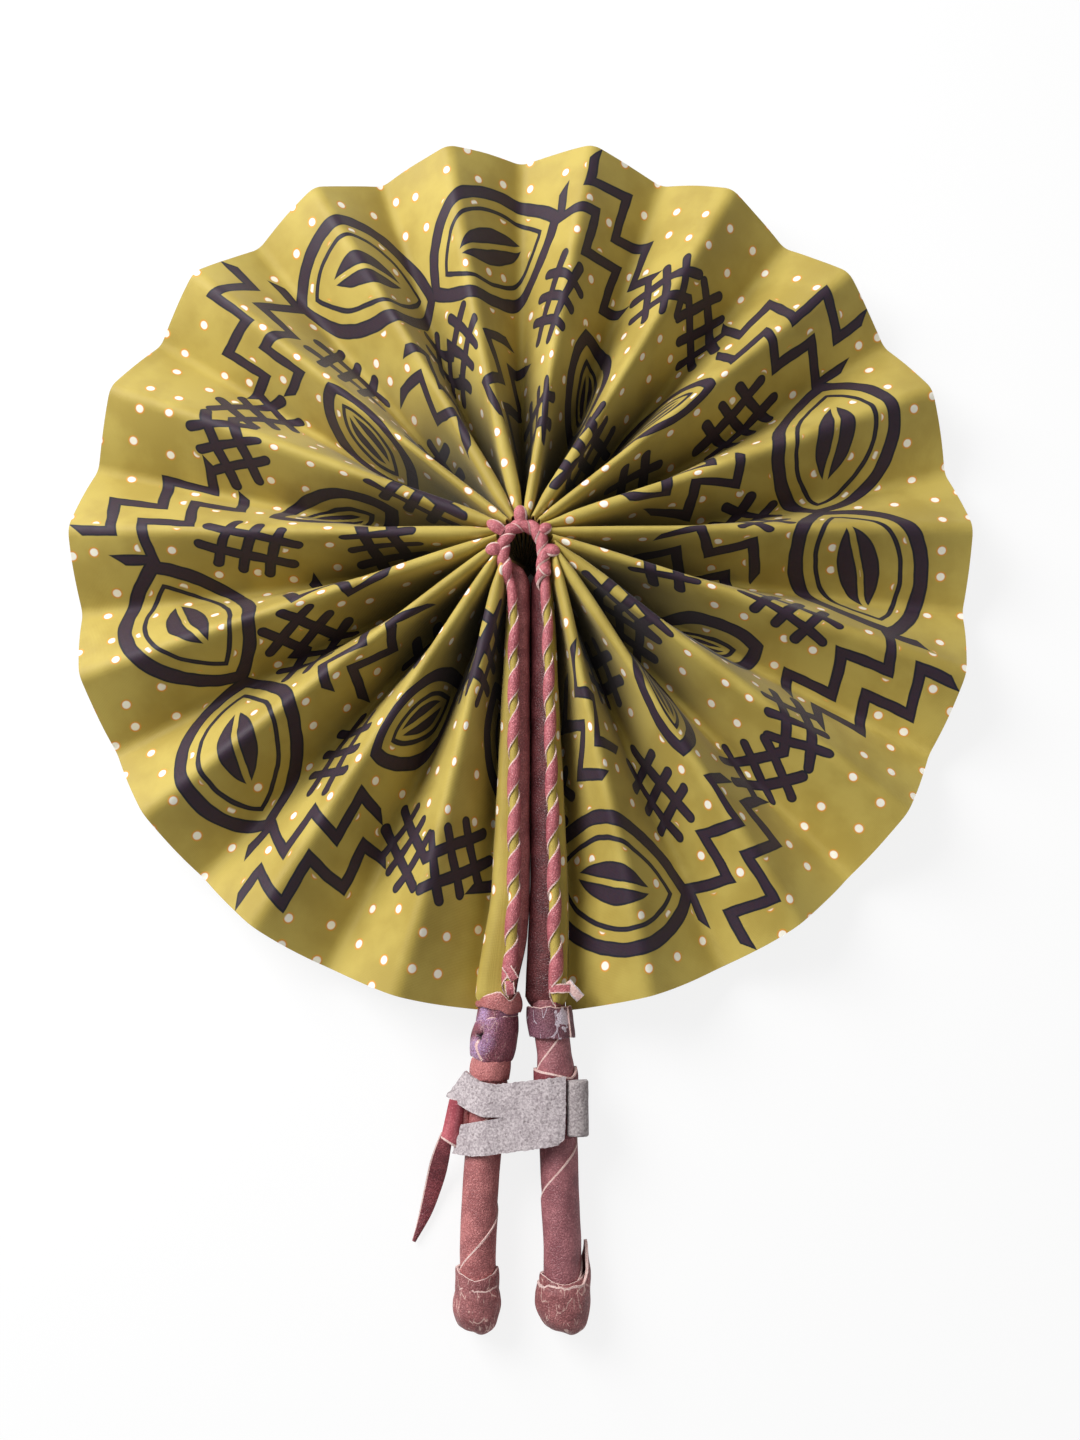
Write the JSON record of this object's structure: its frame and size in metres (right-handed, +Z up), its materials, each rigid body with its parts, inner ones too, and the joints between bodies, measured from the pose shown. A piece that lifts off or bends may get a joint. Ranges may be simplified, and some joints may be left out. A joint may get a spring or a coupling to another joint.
{
  "type": "pleated hand fan",
  "caption": "Round pleated cloth hand fan, open to a full circle, with laced leather guards that run on as wrapped handles and a suede strap that buttons the handles together.",
  "frame": {"origin": "Middle of the part's footprint on the table it lies on, face up.", "axes": "+Y from the handles to the top of the leaf, +Z up out of the fan's face, +X to the right of it."},
  "size_m": [0.2696, 0.3564, 0.026],
  "materials": {
    "printed_cloth": "mustard printed cotton, dark figures",
    "red_leather": "dusty red grained leather",
    "purple_leather": "purple-red leather, scuffed",
    "lace": "red leather lace with pale cut edges",
    "suede": "pinkish grey suede",
    "stick_wood": "plain dowel, hidden"
  },
  "bodies": {
    "left_guard": {"left_stick": "stick_wood", "left_guard_cover": "red_leather", "left_piping": "printed_cloth", "left_edge_lacing": "lace", "left_handle_wrap": "red_leather", "left_end_cap": "red_leather", "left_collar": "purple_leather", "left_collar_band": "red_leather"},
    "pleat_01": {"leaf_pleat_01": "printed_cloth", "eye_lace_1": "lace"},
    "pleat_02": {"leaf_pleat_02": "printed_cloth"},
    "pleat_03": {"leaf_pleat_03": "printed_cloth", "eye_lace_2": "lace"},
    "pleat_04": {"leaf_pleat_04": "printed_cloth"},
    "pleat_05": {"leaf_pleat_05": "printed_cloth", "eye_lace_3": "lace"},
    "pleat_06": {"leaf_pleat_06": "printed_cloth"},
    "pleat_07": {"leaf_pleat_07": "printed_cloth", "eye_lace_4": "lace"},
    "pleat_08": {"leaf_pleat_08": "printed_cloth"},
    "pleat_09": {"leaf_pleat_09": "printed_cloth", "eye_lace_5": "lace"},
    "pleat_10": {"leaf_pleat_10": "printed_cloth"},
    "pleat_11": {"leaf_pleat_11": "printed_cloth", "eye_lace_6": "lace"},
    "pleat_12": {"leaf_pleat_12": "printed_cloth"},
    "pleat_13": {"leaf_pleat_13": "printed_cloth", "eye_lace_7": "lace"},
    "pleat_14": {"leaf_pleat_14": "printed_cloth"},
    "pleat_15": {"leaf_pleat_15": "printed_cloth", "eye_lace_8": "lace"},
    "pleat_16": {"leaf_pleat_16": "printed_cloth"},
    "pleat_17": {"leaf_pleat_17": "printed_cloth", "eye_lace_9": "lace"},
    "pleat_18": {"leaf_pleat_18": "printed_cloth"},
    "right_guard": {"right_stick": "stick_wood", "right_guard_cover": "red_leather", "right_piping": "printed_cloth", "right_edge_lacing": "lace", "right_handle_wrap": "red_leather", "right_end_cap": "red_leather", "right_collar": "red_leather", "strap_loop": "red_leather", "strap_roll": "suede"},
    "strap": {"strap_band": "suede"},
    "toggle": {"toggle_roll": "red_leather", "toggle_neck": "red_leather"},
    "toggle_tail": {"toggle_tail": "red_leather"}
  },
  "joints": [
    {"name": "fold_01", "type": "hinge", "parent": "left_guard", "child": "pleat_01", "pos_m": [-0.00501, 0.03994, 0.013], "axis": [0, 0, 1], "range_deg": [0, 10.85], "deforming": ["leaf_pleat_01"]},
    {"name": "fold_02", "type": "hinge", "parent": "pleat_01", "child": "pleat_02", "pos_m": [-0.00565, 0.04122, 0.013], "axis": [0, 0, 1], "range_deg": [0, 19.3], "deforming": ["leaf_pleat_02"]},
    {"name": "fold_03", "type": "hinge", "parent": "pleat_02", "child": "pleat_03", "pos_m": [-0.00597, 0.04262, 0.013], "axis": [0, 0, 1], "range_deg": [0, 19.3], "deforming": ["leaf_pleat_03"]},
    {"name": "fold_04", "type": "hinge", "parent": "pleat_03", "child": "pleat_04", "pos_m": [-0.00595, 0.04405, 0.013], "axis": [0, 0, 1], "range_deg": [0, 19.3], "deforming": ["leaf_pleat_04"]},
    {"name": "fold_05", "type": "hinge", "parent": "pleat_04", "child": "pleat_05", "pos_m": [-0.00559, 0.04544, 0.013], "axis": [0, 0, 1], "range_deg": [0, 19.3], "deforming": ["leaf_pleat_05"]},
    {"name": "fold_06", "type": "hinge", "parent": "pleat_05", "child": "pleat_06", "pos_m": [-0.00491, 0.0467, 0.013], "axis": [0, 0, 1], "range_deg": [0, 19.3], "deforming": ["leaf_pleat_06"]},
    {"name": "fold_07", "type": "hinge", "parent": "pleat_06", "child": "pleat_07", "pos_m": [-0.00395, 0.04777, 0.013], "axis": [0, 0, 1], "range_deg": [0, 19.3], "deforming": ["leaf_pleat_07"]},
    {"name": "fold_08", "type": "hinge", "parent": "pleat_07", "child": "pleat_08", "pos_m": [-0.00276, 0.04858, 0.013], "axis": [0, 0, 1], "range_deg": [0, 19.3], "deforming": ["leaf_pleat_08"]},
    {"name": "fold_09", "type": "hinge", "parent": "pleat_08", "child": "pleat_09", "pos_m": [-0.00142, 0.04908, 0.013], "axis": [0, 0, 1], "range_deg": [0, 19.3], "deforming": ["leaf_pleat_09"]},
    {"name": "fold_10", "type": "hinge", "parent": "pleat_09", "child": "pleat_10", "pos_m": [0, 0.04925, 0.013], "axis": [0, 0, 1], "range_deg": [0, 19.3], "deforming": ["leaf_pleat_10"]},
    {"name": "fold_11", "type": "hinge", "parent": "pleat_10", "child": "pleat_11", "pos_m": [0.00142, 0.04908, 0.013], "axis": [0, 0, 1], "range_deg": [0, 19.3], "deforming": ["leaf_pleat_11"]},
    {"name": "fold_12", "type": "hinge", "parent": "pleat_11", "child": "pleat_12", "pos_m": [0.00276, 0.04858, 0.013], "axis": [0, 0, 1], "range_deg": [0, 19.3], "deforming": ["leaf_pleat_12"]},
    {"name": "fold_13", "type": "hinge", "parent": "pleat_12", "child": "pleat_13", "pos_m": [0.00395, 0.04777, 0.013], "axis": [0, 0, 1], "range_deg": [0, 19.3], "deforming": ["leaf_pleat_13"]},
    {"name": "fold_14", "type": "hinge", "parent": "pleat_13", "child": "pleat_14", "pos_m": [0.00491, 0.0467, 0.013], "axis": [0, 0, 1], "range_deg": [0, 19.3], "deforming": ["leaf_pleat_14"]},
    {"name": "fold_15", "type": "hinge", "parent": "pleat_14", "child": "pleat_15", "pos_m": [0.00559, 0.04544, 0.013], "axis": [0, 0, 1], "range_deg": [0, 19.3], "deforming": ["leaf_pleat_15"]},
    {"name": "fold_16", "type": "hinge", "parent": "pleat_15", "child": "pleat_16", "pos_m": [0.00595, 0.04405, 0.013], "axis": [0, 0, 1], "range_deg": [0, 19.3], "deforming": ["leaf_pleat_16"]},
    {"name": "fold_17", "type": "hinge", "parent": "pleat_16", "child": "pleat_17", "pos_m": [0.00597, 0.04262, 0.013], "axis": [0, 0, 1], "range_deg": [0, 19.3], "deforming": ["leaf_pleat_17"]},
    {"name": "fold_18", "type": "hinge", "parent": "pleat_17", "child": "pleat_18", "pos_m": [0.00565, 0.04122, 0.013], "axis": [0, 0, 1], "range_deg": [0, 19.3], "deforming": ["leaf_pleat_18"]},
    {"name": "fold_19", "type": "hinge", "parent": "pleat_18", "child": "right_guard", "pos_m": [0.00501, 0.03994, 0.013], "axis": [0, 0, 1], "range_deg": [0, 10.9]},
    {"name": "strap_lift", "type": "hinge", "parent": "right_guard", "child": "strap", "pos_m": [0.01134, -0.12025, 0.01562], "axis": [0, 1, 0], "range_deg": [0, 110]},
    {"name": "toggle_turn", "type": "hinge", "parent": "left_guard", "child": "toggle", "pos_m": [-0.014, -0.12025, 0.00802], "axis": [-1, 0, 0], "range_deg": [0, 90]},
    {"name": "tail_swing", "type": "hinge", "parent": "toggle", "child": "toggle_tail", "pos_m": [-0.02176, -0.12666, 0.00802], "axis": [0, 0, 1], "range_deg": [-25, 25]}
  ],
  "couplings": [
    {"joint": "fold_02", "follows": "fold_01", "ratio": 1.7742},
    {"joint": "fold_03", "follows": "fold_01", "ratio": 1.7742},
    {"joint": "fold_04", "follows": "fold_01", "ratio": 1.7742},
    {"joint": "fold_05", "follows": "fold_01", "ratio": 1.7742},
    {"joint": "fold_06", "follows": "fold_01", "ratio": 1.7742},
    {"joint": "fold_07", "follows": "fold_01", "ratio": 1.7742},
    {"joint": "fold_08", "follows": "fold_01", "ratio": 1.7742},
    {"joint": "fold_09", "follows": "fold_01", "ratio": 1.7742},
    {"joint": "fold_10", "follows": "fold_01", "ratio": 1.7742},
    {"joint": "fold_11", "follows": "fold_01", "ratio": 1.7742},
    {"joint": "fold_12", "follows": "fold_01", "ratio": 1.7742},
    {"joint": "fold_13", "follows": "fold_01", "ratio": 1.7742},
    {"joint": "fold_14", "follows": "fold_01", "ratio": 1.7742},
    {"joint": "fold_15", "follows": "fold_01", "ratio": 1.7742},
    {"joint": "fold_16", "follows": "fold_01", "ratio": 1.7742},
    {"joint": "fold_17", "follows": "fold_01", "ratio": 1.7742},
    {"joint": "fold_18", "follows": "fold_01", "ratio": 1.7742},
    {"joint": "fold_19", "follows": "fold_01", "ratio": 1}
  ]
}
